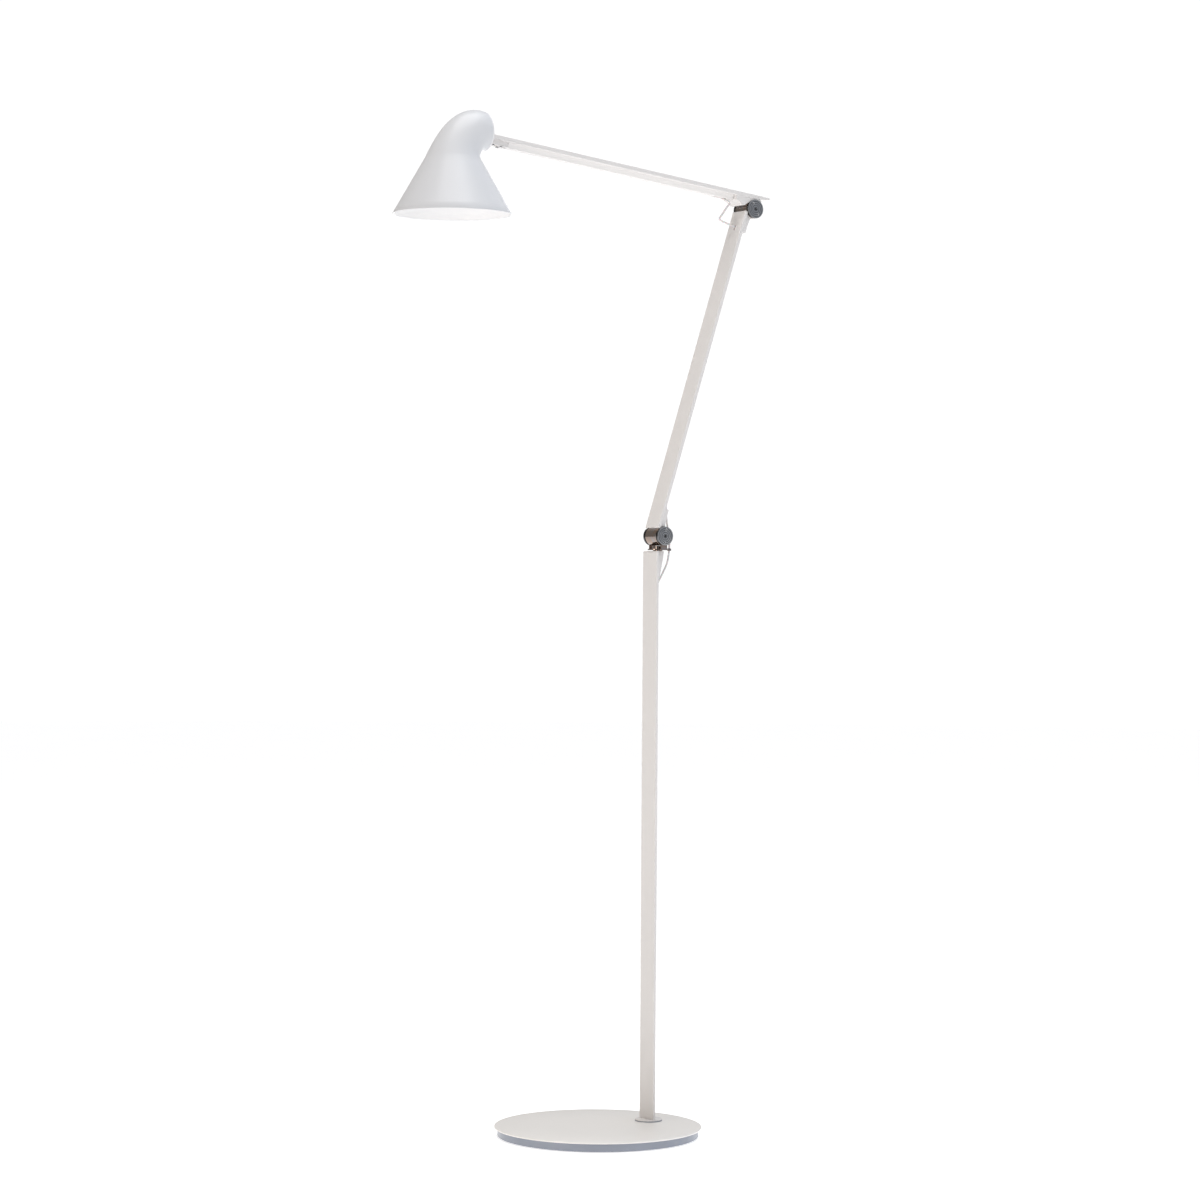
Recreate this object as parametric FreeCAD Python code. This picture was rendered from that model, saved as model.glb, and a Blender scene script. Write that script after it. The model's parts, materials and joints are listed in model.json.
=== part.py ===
"""Adjustable arm floor lamp: a round weighted foot, a flat post, two flat arms on
friction hinges and a hooded shade.  Millimetres, +Z up, origin at the centre of the
foot's underside, the lamp lying in the XZ plane with its head towards -X.
"""
import FreeCAD
import Part
import math
import os

V = FreeCAD.Vector

# ---- driving dimensions ------------------------------------------------------------
TOP_R = 130.0            # foot: thin top disc
TOP_T = 2.0
WEIGHT_R = 126.0         # foot: ballast disc under it
WEIGHT_T = 10.0
PAD_R = 121.0            # foot: felt pad underneath
PAD_T = 1.0

POST_FRONT = 73.0        # X of the post's front face
POST_W = 31.0
POST_T = 3.5
POST_TOP = 732.5
FLANGE_R = 17.0
FLANGE_T = 2.5
FLANGE_X = 76.5

RIB_DEPTH = 6.0          # every bar has a trapezoid rib behind it that holds the cable
RIB_W0 = 18.0            # rib width where it meets the plate
RIB_W1 = 10.0            # rib width at its tip
SLOT_W = 5.0
SLOT_DEPTH = 4.6
COVER_T = 1.1

SHOULDER = V(85.5, 0.0, 752.5)   # hinge between swivel and lower arm
ARM_L = 443.0                    # distance between the two hinges
LOWER_LEAN = 18.0                # degrees, lower arm leans back
UPPER_RISE = 6.94                # degrees, upper arm rises towards the head

HINGE_R = 12.0
BARREL_HALF = 11.9
WASHER_T = 0.4
EAR_T = 1.6
EAR_R = 9.0
CAP_T = 2.5
PIN_R = 3.0
FIT = 0.05               # radial running clearance

LOWER_W = 28.6
LOWER_T = 4.3
LOWER_FRONT = 12.9       # front face ahead of the hinge line
LOWER_END = 7.2          # plate ends this far from each hinge centre
UPPER_W = 28.6
UPPER_T = 5.0
UPPER_TOP = 18.3         # top face above the hinge line
UPPER_TAIL = 4.0         # plate runs this far behind the elbow, then the tail cap
TAIL_END = 27.6
UPPER_END = 398.0        # plate ends here, just behind the shade

SWIVEL_R = 13.15         # round plate under the shoulder hinge
SWIVEL_Z = 734.9
SWIVEL_T = 1.4
SWIVEL_STOP_R = 6.8      # the stop pin runs in an arc slot of this radius
SWIVEL_STOP_PIN_R = 1.0
SWIVEL_STOP_SPARE = 3.6  # degrees the slot runs on past the pin at each end
SWIVEL_RANGE = 90.0

HEAD_PIVOT_S = 427.0     # tilt axis: distance along the upper arm from the elbow
HEAD_PIVOT_N = 11.5      # and above the elbow's hinge line

SHADE = V(-219.7, 0.0, 1139.9)   # centre of the shade's opening
SHADE_R = 73.3
SHADE_SLOPE = 0.575      # the cone loses this much radius for each mm of height
HOOD_Z = 68.6            # height where the cone turns into the hood
HOOD_PIVOT = 11.6        # the hood turns about a line this far behind the cone
HOOD_TURN = 86.0         # degrees turned at the rear opening
HOOD_R = (24.8, 29.4, 24.0)      # the hood's radius law after the cone
SHELL_T = 1.5

CABLE_R = 1.2

# ---- helpers -----------------------------------------------------------------------


def box(x0, x1, y0, y1, z0, z1):
    return Part.makeBox(x1 - x0, y1 - y0, z1 - z0, V(x0, y0, z0))


def rod(p, d, r, h):
    return Part.makeCylinder(r, h, V(*p), V(*d))


def tube(p, d, r, bore, h):
    return rod(p, d, r, h).cut(rod(p, d, bore, h))


def prism(points, y0, y1):
    """A closed XZ outline pulled along Y."""
    face = Part.Face(Part.makePolygon([V(x, y0, z) for x, z in points + points[:1]]))
    return face.extrude(V(0, y1 - y0, 0))


def hexagon(p, d, across, h):
    """A hexagonal prism standing on point p, along d."""
    r = across / math.sqrt(3.0)
    ring = [V(r * math.cos(math.radians(60 * k)), r * math.sin(math.radians(60 * k)), 0)
            for k in range(7)]
    solid = Part.Face(Part.makePolygon(ring)).extrude(V(0, 0, h))
    solid.Placement = FreeCAD.Placement(V(*p), FreeCAD.Rotation(V(0, 0, 1), V(*d)))
    return solid


def rounded(shape, radius, pick):
    edges = [e for e in shape.Edges if pick(e)]
    return shape.makeFillet(radius, edges)


def turned(shape, degrees, at):
    """Tilt about Y through the origin, then move the origin to a point."""
    copy = shape.copy()
    copy.Placement = FreeCAD.Placement(at, FreeCAD.Rotation(V(0, 1, 0), degrees))
    return copy


def moved(shape, at):
    copy = shape.copy()
    copy.Placement = FreeCAD.Placement(at, FreeCAD.Rotation())
    return copy


def lower(shape):
    return turned(shape, LOWER_LEAN, SHOULDER)


def elbow_point():
    a = math.radians(LOWER_LEAN)
    return SHOULDER + V(ARM_L * math.sin(a), 0, ARM_L * math.cos(a))


def upper(shape):
    return turned(shape, UPPER_RISE - 90.0, elbow_point())


def arm_point(local, lean, origin):
    """The place in the lamp of a point of an arm drawn upright."""
    return origin + FreeCAD.Rotation(V(0, 1, 0), lean).multVec(V(*local))


def run_and_arc(points, radii):
    """Straight runs through points, joined by tangent arcs of the given radii."""
    edges = []
    start = points[0]
    for before, at, after, radius in zip(points, points[1:], points[2:], radii):
        a = (before - at).normalize()
        b = (after - at).normalize()
        half_turn = (math.pi - a.getAngle(b)) / 2
        cut = radius * math.tan(half_turn)
        first = at + a * cut
        last = at + b * cut
        middle = (a + b).normalize() * (radius / math.cos(half_turn) - radius)
        edges.append(Part.LineSegment(start, first).toShape())
        edges.append(Part.Arc(first, at + middle, last).toShape())
        start = last
    edges.append(Part.LineSegment(start, points[-1]).toShape())
    return Part.Wire(edges)


def cable(name, points, tight=None):
    """A round cable through points; arcs are as large as their runs allow."""
    points = [V(*p) for p in points]
    radii = []
    for before, at, after in zip(points, points[1:], points[2:]):
        short = min((at - before).Length, (after - at).Length)
        half_turn = (math.pi - (before - at).getAngle(after - at)) / 2
        radii.append(0.45 * short / math.tan(half_turn))
    if tight:
        radii = [min(r, tight) for r in radii]
    path = run_and_arc(points, radii)
    along = points[1] - points[0]
    ring = Part.Wire(Part.Circle(points[0], along, CABLE_R).toShape())
    solid = path.makePipeShell([ring], True, False)
    wanted = math.pi * CABLE_R ** 2 * path.Length
    print(name, "length %.1f" % path.Length, "radii", [round(r, 1) for r in radii],
          "volume ratio %.4f" % (solid.Volume / wanted))
    return solid


def bar(front, width, thick, side, z0, z1, rib0, rib1, cover0, cover1, slot0=None):
    """A flat bar with its outer face at X = front, facing side (-1 or 1), and the
    cable rib behind it from rib0 to rib1, slotted from slot0 (or from its start).
    Returns the bar and its slot cover."""
    if slot0 is None:
        slot0 = rib0
    back = front - side * thick
    tip = back - side * RIB_DEPTH
    plate = box(min(front, back), max(front, back), -width / 2, width / 2, z0, z1)
    plate = rounded(plate, 0.5, lambda e: e.Length > 0.5 * (z1 - z0))
    outline = [V(back, -RIB_W0 / 2, rib0), V(tip, -RIB_W1 / 2, rib0),
               V(tip, RIB_W1 / 2, rib0), V(back, RIB_W0 / 2, rib0)]
    face = Part.Face(Part.makePolygon(outline + outline[:1]))
    rib = face.extrude(V(0, 0, rib1 - rib0))
    floor = tip + side * SLOT_DEPTH
    slot = box(min(tip, floor), max(tip, floor), -SLOT_W / 2, SLOT_W / 2, slot0, rib1)
    inner = tip + side * COVER_T
    half = SLOT_W / 2 - 0.05
    cover = box(min(tip, inner), max(tip, inner), -half, half, cover0, cover1)
    return plate.fuse(rib).cut(slot).removeSplitter(), cover


# ---- foot --------------------------------------------------------------------------

WEIGHT_TOP = PAD_T + WEIGHT_T
BASE_TOP = WEIGHT_TOP + TOP_T
FLANGE_TOP = BASE_TOP + FLANGE_T
BOLT_Y = 10.5
BOLT_R = 2.5
BOLT_HEAD_R = 4.3
FOOT_WASHER_T = 1.0
SPIGOT_R = 4.0           # the flange's two feet that go down into the ballast
COUNTERBORE_R = 5.6
COUNTERBORE_Z = 4.2
POST_CABLE_X = POST_FRONT + POST_T + RIB_DEPTH - COVER_T - CABLE_R - 0.6
CABLE_Z = 3.4
GLAND_L = 12.0
GLAND_R = 2.9


def foot_bolt_places():
    return [(FLANGE_X, y) for y in (-BOLT_Y, BOLT_Y)]


def foot_pad():
    pad = rod((0, 0, 0), (0, 0, 1), PAD_R, PAD_T)
    return rounded(pad, 0.4, lambda e: e.Vertexes[0].Z < 0.1 and len(e.Vertexes) == 1)


def base_weight():
    body = rod((0, 0, PAD_T), (0, 0, 1), WEIGHT_R, WEIGHT_T)
    body = body.makeChamfer(0.8, [e for e in body.Edges if len(e.Vertexes) == 1
                                  and e.Vertexes[0].Z < PAD_T + 0.1])
    for x, y in foot_bolt_places():
        body = body.cut(rod((x, y, 0), (0, 0, 1), SPIGOT_R + FIT, BASE_TOP))
        body = body.cut(rod((x, y, 0), (0, 0, 1), COUNTERBORE_R, COUNTERBORE_Z))
    half = CABLE_R + 0.5
    body = body.cut(box(POST_CABLE_X - half, POST_CABLE_X + 6, -half, half, 0, BASE_TOP))
    groove = box(POST_CABLE_X - half - 2, WEIGHT_R + 1, -half, half, 0, CABLE_Z + half)
    mouth = rod((WEIGHT_R - GLAND_L, 0, CABLE_Z + 0.6), (1, 0, 0), GLAND_R + FIT, GLAND_L + 1)
    return body.cut(groove).cut(mouth)


def base_top_plate():
    plate = rod((0, 0, WEIGHT_TOP), (0, 0, 1), TOP_R, TOP_T)
    plate = rounded(plate, 0.7, lambda e: len(e.Vertexes) == 1)
    for x, y in foot_bolt_places():
        plate = plate.cut(rod((x, y, 0), (0, 0, 1), SPIGOT_R + FIT, 2 * BASE_TOP))
    return plate.cut(rod((POST_CABLE_X, 0, 0), (0, 0, 1), CABLE_R + 0.5, 2 * BASE_TOP))


def post_flange():
    disc = rod((FLANGE_X, 0, BASE_TOP), (0, 0, 1), FLANGE_R, FLANGE_T)
    disc = rounded(disc, 0.6, lambda e: len(e.Vertexes) == 1 and e.Vertexes[0].Z > BASE_TOP + 1)
    for x, y in foot_bolt_places():
        disc = disc.fuse(rod((x, y, COUNTERBORE_Z + 0.2), (0, 0, 1), SPIGOT_R,
                             FLANGE_TOP - COUNTERBORE_Z - 1.0))
        disc = disc.cut(rod((x, y, 0), (0, 0, 1), BOLT_R, FLANGE_TOP - 1.5))
    return disc.cut(rod((POST_CABLE_X, 0, 0), (0, 0, 1), CABLE_R + 0.5, 2 * BASE_TOP))


def post_foot_bolts():
    solids = []
    for x, y in foot_bolt_places():
        top = COUNTERBORE_Z - FOOT_WASHER_T
        head = rod((x, y, PAD_T + 0.3), (0, 0, 1), BOLT_HEAD_R, top - PAD_T - 0.3)
        head = head.cut(hexagon((x, y, PAD_T), (0, 0, 1), 3.0, 1.4))
        solids.append(head.fuse(rod((x, y, top), (0, 0, 1), BOLT_R, FLANGE_TOP - 1.8 - top)))
    return Part.makeCompound(solids)


def post_foot_washers():
    return Part.makeCompound([
        tube((x, y, COUNTERBORE_Z - FOOT_WASHER_T), (0, 0, 1), COUNTERBORE_R - 0.2,
             BOLT_R + FIT, FOOT_WASHER_T) for x, y in foot_bolt_places()])


def cable_gland():
    x0 = WEIGHT_R - GLAND_L
    z = CABLE_Z + 0.6
    body = rod((x0, 0, z), (1, 0, 0), GLAND_R, GLAND_L)
    body = body.fuse(Part.makeCone(GLAND_R, GLAND_R - 0.8, 2.0, V(WEIGHT_R, 0, z), V(1, 0, 0)))
    body = body.cut(rod((x0 - 1, 0, z), (1, 0, 0), CABLE_R + FIT, 6))
    return body.cut(rod((x0 + 4, 0, z), (1, 0, 0), 1.6, GLAND_L))


# ---- post --------------------------------------------------------------------------

HEAD_BLOCK_Z = 698.5     # the rib stops here and the post's head block begins
HEAD_BLOCK_HALF = 6.0
HEAD_BLOCK_TOP = 733.7
HEAD_BLOCK_REAR = 90.5
POCKET_Z = (713.0, 722.0)
SWIVEL_BOLT_R = 2.0
POST_COVER_TOP = 674.5
HEAD_SCREW_Z = (702.1, 708.5)
STOP_PIN_Z = 728.5
SWIVEL_BOLT_Z = 713.5     # the bolt's lower end, inside the pocket


def post_bar_and_cover():
    return bar(POST_FRONT, POST_W, POST_T, -1, FLANGE_TOP, POST_TOP,
               FLANGE_TOP, HEAD_BLOCK_Z, FLANGE_TOP + 1, POST_COVER_TOP)


def post_head_block():
    x0 = POST_FRONT + POST_T
    outline = [(x0, HEAD_BLOCK_Z), (x0 + RIB_DEPTH + 1.2, HEAD_BLOCK_Z),
               (HEAD_BLOCK_REAR - 1.4, HEAD_BLOCK_TOP - 9.2), (HEAD_BLOCK_REAR, HEAD_BLOCK_TOP),
               (x0, HEAD_BLOCK_TOP)]
    block = prism(outline, -HEAD_BLOCK_HALF, HEAD_BLOCK_HALF)
    lip = box(POST_FRONT + 0.6, x0, -POST_W / 2 + 0.6, POST_W / 2 - 0.6, POST_TOP, HEAD_BLOCK_TOP)
    block = block.fuse(lip).removeSplitter()
    block = block.cut(rod((SHOULDER.x, 0, HEAD_BLOCK_Z + 4), (0, 0, 1), SWIVEL_BOLT_R + FIT, 50))
    block = block.cut(box(SHOULDER.x - 4.7, 100, -4.7, 4.7, *POCKET_Z))
    block = block.cut(rod((SHOULDER.x - SWIVEL_STOP_R, 0, STOP_PIN_Z), (0, 0, 1),
                          SWIVEL_STOP_PIN_R, 10))
    for z in HEAD_SCREW_Z:
        block = block.cut(rod((x0, 0, z), (1, 0, 0), 1.5 + FIT, 20))
        block = block.cut(rod((x0 + 4, 0, z), (1, 0, 0), 2.4, 20))
    return block


def post_head_screws():
    x0 = POST_FRONT + POST_T
    solids = []
    for z in HEAD_SCREW_Z:
        head = rod((x0 + 4, 0, z), (1, 0, 0), 2.3, 2.2)
        head = head.cut(hexagon((x0 + 5, 0, z), (1, 0, 0), 2.0, 2))
        solids.append(head.fuse(rod((x0, 0, z), (1, 0, 0), 1.5, 4)))
    return Part.makeCompound(solids)


def swivel_stop_pin():
    top = SWIVEL_Z + 1.0
    return rod((SHOULDER.x - SWIVEL_STOP_R, 0, STOP_PIN_Z), (0, 0, 1), SWIVEL_STOP_PIN_R,
               top - STOP_PIN_Z)


def swivel_spacer():
    ring = tube((SHOULDER.x, 0, HEAD_BLOCK_TOP), (0, 0, 1), 5.6, SWIVEL_BOLT_R + FIT,
                SWIVEL_Z - HEAD_BLOCK_TOP)
    return ring


# ---- swivel and hinges -------------------------------------------------------------

EAR_IN = BARREL_HALF + WASHER_T
EAR_OUT = EAR_IN + EAR_T
COLLAR_R = 6.2
GUIDE_X = 102.5


def swivel_yoke():
    x, z = SHOULDER.x, SWIVEL_Z
    base = rod((x, 0, z), (0, 0, 1), SWIVEL_R, SWIVEL_T)
    base = base.fuse(box(x - 4.5, x + 4.5, -EAR_OUT, EAR_OUT, z, z + SWIVEL_T))
    tab = box(x, GUIDE_X - 1.5, -2.2, 2.2, z, z + SWIVEL_T)
    base = base.fuse(tab)
    for y in (-EAR_OUT, EAR_IN):
        base = base.fuse(box(x - 4.5, x + 4.5, y, y + EAR_T, z, SHOULDER.z))
        base = base.fuse(rod((x, y, SHOULDER.z), (0, 1, 0), EAR_R, EAR_T))
    base = base.cut(rod((x, -20, SHOULDER.z), (0, 1, 0), PIN_R + FIT, 40))
    base = base.cut(rod((x, 0, z - 1), (0, 0, 1), SWIVEL_BOLT_R + FIT, 4))
    sweep = SWIVEL_RANGE + math.degrees(SWIVEL_STOP_PIN_R / SWIVEL_STOP_R) + SWIVEL_STOP_SPARE
    arc = Part.makeCylinder(SWIVEL_STOP_R + 1.25, 4, V(0, 0, 0), V(0, 0, 1), 2 * sweep)
    arc = arc.cut(rod((0, 0, -1), (0, 0, 1), SWIVEL_STOP_R - 1.25, 6))
    arc.Placement = FreeCAD.Placement(V(x, 0, z - 1), FreeCAD.Rotation(V(0, 0, 1), 180 - sweep))
    return base.cut(arc).removeSplitter()


def swivel_bolt():
    x = SHOULDER.x
    z = SWIVEL_Z + SWIVEL_T
    head = rod((x, 0, z), (0, 0, 1), COLLAR_R, 3.9)
    head = rounded(head, 0.4, lambda e: len(e.Vertexes) == 1 and e.Vertexes[0].Z > z + 1)
    return head.fuse(rod((x, 0, SWIVEL_BOLT_Z), (0, 0, 1), SWIVEL_BOLT_R, z - SWIVEL_BOLT_Z))


def swivel_locknut():
    nut = hexagon((SHOULDER.x, 0, SWIVEL_BOLT_Z + 0.6), (0, 0, 1), 7.0, 3.2)
    return nut.cut(rod((SHOULDER.x, 0, SWIVEL_BOLT_Z), (0, 0, 1), SWIVEL_BOLT_R, 5))


def swivel_disc_springs():
    x = SHOULDER.x
    z = SWIVEL_BOLT_Z + 3.8
    solids = []
    for k in range(4):
        low = z + 1.15 * k
        solids.append(tube((x, 0, low), (0, 0, 1), 4.3, SWIVEL_BOLT_R + FIT, 1.0))
    return Part.makeCompound(solids)


def cable_guide():
    ring = tube((GUIDE_X, 0, SWIVEL_Z - 0.8), (0, 0, 1), 2.6, CABLE_R + 0.15, 3.0)
    seat = box(SHOULDER.x, GUIDE_X - 1.5, -2.2, 2.2, SWIVEL_Z - 1, SWIVEL_Z + SWIVEL_T)
    return ring.cut(seat)


def hinge_barrel(at):
    shape = rod((0, -BARREL_HALF, 0), (0, 1, 0), HINGE_R, 2 * BARREL_HALF)
    shape = rounded(shape, 0.5, lambda e: len(e.Vertexes) == 1)
    shape = shape.cut(rod((0, -20, 0), (0, 1, 0), PIN_R + FIT, 40))
    return moved(shape, at)


def hinge_pin(at):
    shape = rod((0, -EAR_OUT - 0.4, 0), (0, 1, 0), PIN_R, 2 * EAR_OUT + 0.8)
    return moved(shape, at)


def hinge_washers(at):
    rings = [tube((0, y, 0), (0, 1, 0), 8.4, PIN_R + FIT, WASHER_T) for y in (-EAR_IN, BARREL_HALF)]
    return moved(Part.makeCompound(rings), at)


def hinge_cap(at, side, turn):
    """An end cap with a hexagon socket and two spanner holes; side is -1 or 1."""
    y = side * EAR_OUT
    cap = rod((0, y, 0), (0, side, 0), HINGE_R, CAP_T)
    cap = rounded(cap, 0.6, lambda e: len(e.Vertexes) == 1 and abs(e.Vertexes[0].Y) > EAR_OUT + 1)
    cap = cap.cut(rod((0, y, 0), (0, side, 0), PIN_R, 0.5))
    cap = cap.cut(hexagon((0, y + side * 1.1, 0), (0, side, 0), 3.0, 2))
    for k in (0, 1):
        a = math.radians(turn + 180 * k)
        cap = cap.cut(rod((8.2 * math.cos(a), y + side * 1.0, 8.2 * math.sin(a)), (0, side, 0), 1.1, 2))
    return moved(cap, at)


# ---- lower arm, drawn upright with the shoulder at the origin ------------------------

LOWER_BACK = -LOWER_FRONT + LOWER_T
LOWER_TIP = LOWER_BACK + RIB_DEPTH
LOWER_CABLE_X = LOWER_TIP - COVER_T - CABLE_R - 0.6
LOWER_EXIT = 60.0        # the cover starts here, above the cable's lower exit
SLOT_S = 28.0            # the front slot, this far below the elbow
SADDLE_S = 34.0          # each end casting reaches this far along the arm


def lower_bar_and_cover():
    shape, cover = bar(-LOWER_FRONT, LOWER_W, LOWER_T, -1, LOWER_END, ARM_L - LOWER_END,
                       SADDLE_S, ARM_L - SADDLE_S, LOWER_EXIT, ARM_L - SADDLE_S - 1)
    for s in (0, ARM_L):
        shape = shape.cut(rod((0, -20, s), (0, 1, 0), HINGE_R + FIT, 40))
    slot = box(-20, LOWER_BACK + 1, -1.7, 1.7, ARM_L - SLOT_S - 4.5, ARM_L - SLOT_S + 1.7)
    return lower(shape.cut(slot)), lower(cover)


def saddle(flip):
    """The casting between the bar and a hinge barrel; flip draws the elbow's one."""
    low = V(LOWER_TIP, 0, SADDLE_S)
    toe = V(LOWER_TIP + 1.6, 0, 9.0)
    sweep = Part.Arc(low, V(LOWER_TIP + 0.3, 0, (SADDLE_S + toe.z) / 2), toe).toShape()
    lines = [Part.LineSegment(toe, V(0, 0, 7.0)).toShape(),
             Part.LineSegment(V(0, 0, 7.0), V(LOWER_BACK, 0, 7.0)).toShape(),
             Part.LineSegment(V(LOWER_BACK, 0, 7.0), V(LOWER_BACK, 0, SADDLE_S)).toShape(),
             Part.LineSegment(V(LOWER_BACK, 0, SADDLE_S), low).toShape()]
    face = Part.Face(Part.Wire([sweep] + lines))
    shape = face.extrude(V(0, 2 * BARREL_HALF, 0))
    shape.translate(V(0, -BARREL_HALF, 0))
    shape = shape.cut(rod((0, -20, 0), (0, 1, 0), HINGE_R + FIT, 40))
    shape = shape.cut(box(LOWER_BACK, LOWER_TIP + 8, -SLOT_W / 2, SLOT_W / 2, 22, SADDLE_S + 1))
    if flip:
        shape = shape.mirror(V(0, 0, ARM_L / 2), V(0, 0, 1))
    return lower(shape)


# ---- upper arm, drawn upright with the elbow at the origin, its top facing +X --------

UPPER_UNDER = UPPER_TOP - UPPER_T
UPPER_TIP = UPPER_UNDER - RIB_DEPTH
UPPER_CABLE_X = UPPER_TIP + COVER_T + CABLE_R + 0.6
YOKE_END = 30.0          # the elbow yoke reaches this far along the arm
UPPER_SLOT = 38.0        # the rib's slot opens here, for the cable to leave
UPPER_EXIT = 56.0        # and its cover starts here
NOSE = (5.6, 17.6)       # centre of the yoke's rounded nose, where its clamp screw is
NOSE_R = 3.6
NOSE_HOLE = 8.0          # its blind hole runs this far past the middle
LINK_S = 372.0           # the rib stops here and the head link begins
LINK_HALF = 6.0
LINK_SCREW_S = (380.0, 391.0)
LINK_SCREW_Y = 4.6
LINK_GROOVE_END = 411.0
HEAD_PIN_R = 2.5


def upper_bar_and_cover():
    shape, cover = bar(UPPER_TOP, UPPER_W, UPPER_T, 1, -UPPER_TAIL, UPPER_END,
                       YOKE_END, LINK_S, UPPER_EXIT, LINK_S - 1, UPPER_SLOT)
    return upper(shape), upper(cover)


def tail_cap():
    outline = [(UPPER_UNDER, -UPPER_TAIL), (UPPER_TOP, -UPPER_TAIL),
               (UPPER_TOP - 0.5, -TAIL_END + 1.0), (UPPER_TOP - 1.6, -TAIL_END)]
    shape = prism(outline, -UPPER_W / 2, UPPER_W / 2)
    plan = Part.makeCylinder(UPPER_W / 2 + 6, 30, V(0, 0, -TAIL_END + UPPER_W / 2 + 6), V(1, 0, 0))
    return upper(shape.common(plan.fuse(box(0, 30, -20, 20, -TAIL_END + 12, 0))))


def elbow_yoke():
    """Cheeks beside the barrel and the bridge that carries the upper arm."""
    top = UPPER_UNDER
    x, s = NOSE
    heel = (x - 0.38 * NOSE_R, s - 0.92 * NOSE_R)
    toe = (x - 0.41 * NOSE_R, s + 0.91 * NOSE_R)
    bridge = [(top, -9.0), (top, YOKE_END), (UPPER_TIP, YOKE_END), toe, NOSE, heel,
              (6.6, 10.5), (top - 1.0, -9.0)]
    shape = prism(bridge, -EAR_OUT, EAR_OUT)
    shape = shape.fuse(rod((NOSE[0], -EAR_OUT, NOSE[1]), (0, 1, 0), NOSE_R, 2 * EAR_OUT))
    shape = shape.cut(rod((0, -20, 0), (0, 1, 0), HINGE_R + 0.35, 40))
    for y in (-EAR_OUT, EAR_IN):
        ear = [(0, -EAR_R), (top, -9.0), (top, s), NOSE, heel, (7.0, 10.6), (6.4, 6.4), (0, EAR_R)]
        shape = shape.fuse(prism(ear, y, y + EAR_T))
        shape = shape.fuse(rod((0, y, 0), (0, 1, 0), EAR_R, EAR_T))
    shape = shape.cut(rod((0, -20, 0), (0, 1, 0), PIN_R + FIT, 40))
    shape = shape.cut(rod((NOSE[0], EAR_OUT - 1.2, NOSE[1]), (0, 1, 0), 2.6, 5))
    shape = shape.cut(rod((NOSE[0], -NOSE_HOLE, NOSE[1]), (0, 1, 0), 1.5, 40))
    return upper(shape.removeSplitter())


def elbow_clamp_screw():
    """A cross screw put in from the far side of the yoke's nose."""
    y = EAR_OUT - 1.1
    body = rod((NOSE[0], -NOSE_HOLE + 0.5, NOSE[1]), (0, 1, 0), 1.45, NOSE_HOLE - 0.5 + y)
    head = rod((NOSE[0], y, NOSE[1]), (0, 1, 0), 2.5, 0.6)
    head = head.cut(hexagon((NOSE[0], y + 0.2, NOSE[1]), (0, 1, 0), 1.5, 0.5))
    return upper(body.fuse(head))


def head_link():
    """The tongue that carries the head: a foot under the plate and a narrow neck."""
    foot = [(UPPER_TIP, LINK_S + 0.2), (UPPER_UNDER, LINK_S + 0.2), (UPPER_UNDER, UPPER_END),
            (UPPER_TIP + 1, UPPER_END)]
    shape = prism(foot, -7.5, 7.5)
    neck = [(HEAD_PIVOT_N - 4.5, UPPER_END - 4), (UPPER_UNDER, UPPER_END - 4), (UPPER_UNDER, UPPER_END),
            (HEAD_PIVOT_N + 4.5, UPPER_END + 3), (HEAD_PIVOT_N + 4.5, HEAD_PIVOT_S),
            (HEAD_PIVOT_N - 4.5, HEAD_PIVOT_S)]
    shape = shape.fuse(prism(neck, -LINK_HALF, LINK_HALF))
    eye = rod((HEAD_PIVOT_N, -LINK_HALF, HEAD_PIVOT_S), (0, 1, 0), 7.0, 2 * LINK_HALF)
    shape = shape.fuse(eye)
    shape = shape.cut(rod((HEAD_PIVOT_N, -20, HEAD_PIVOT_S), (0, 1, 0), HEAD_PIN_R + FIT, 40))
    groove = box(UPPER_TIP - 1, UPPER_CABLE_X + CABLE_R + 0.3, -1.6, 1.6, LINK_S, LINK_GROOVE_END)
    shape = shape.cut(groove)
    for s in LINK_SCREW_S:
        for y in (-LINK_SCREW_Y, LINK_SCREW_Y):
            shape = shape.cut(rod((0, y, s), (1, 0, 0), 1.2, 30))
    return upper(shape.removeSplitter())


def head_link_screws():
    solids = []
    for s in LINK_SCREW_S:
        for y in (-LINK_SCREW_Y, LINK_SCREW_Y):
            head = rod((UPPER_TIP - 1.0, y, s), (1, 0, 0), 2.0, 1.0)
            solids.append(head.fuse(rod((UPPER_TIP, y, s), (1, 0, 0), 1.2, UPPER_UNDER - UPPER_TIP)))
    return upper(Part.makeCompound(solids))


# ---- head, drawn with the centre of the shade's opening at the origin ----------------

RING_POINTS = 24         # steps round each half of a round section
CONE_END = 56.0
CONE_STEPS = 5
HOOD_STEPS = 9
BUTTON_T = 0.62          # the button sits on the far side of the hood at this section
BUTTON_R = 4.4
BUTTON_PROUD = 1.8
RING_IN = 20.4
RING_OUT = HOOD_R[2] - SHELL_T - 0.1
MODULE_Z = 46.0          # the light module hangs at this height in the cone
MODULE_R = 40.0
CHEEK_IN = LINK_HALF + 0.35
CHEEK_T = 2.4
SINK_TOP = MODULE_Z + 18.0
SINK_R = 31.5
SINK_SCREW_Y = (-4.0, 4.0)
SINK_SCREW_R = 1.5

def hood_section(t):
    """Centre, radius and turn of the hood's round section at 0 <= t <= 1."""
    r0 = SHADE_R - SHADE_SLOPE * HOOD_Z
    r1, r2, r3 = HOOD_R
    a = 1 - t
    radius = r0 * a ** 3 + 3 * r1 * t * a * a + 3 * r2 * t * t * a + r3 * t ** 3
    turn = math.radians(HOOD_TURN * t)
    reach = HOOD_PIVOT + radius
    centre = V(r0 + HOOD_PIVOT - reach * math.cos(turn), 0, HOOD_Z + reach * math.sin(turn))
    return centre, radius, HOOD_TURN * t


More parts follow.
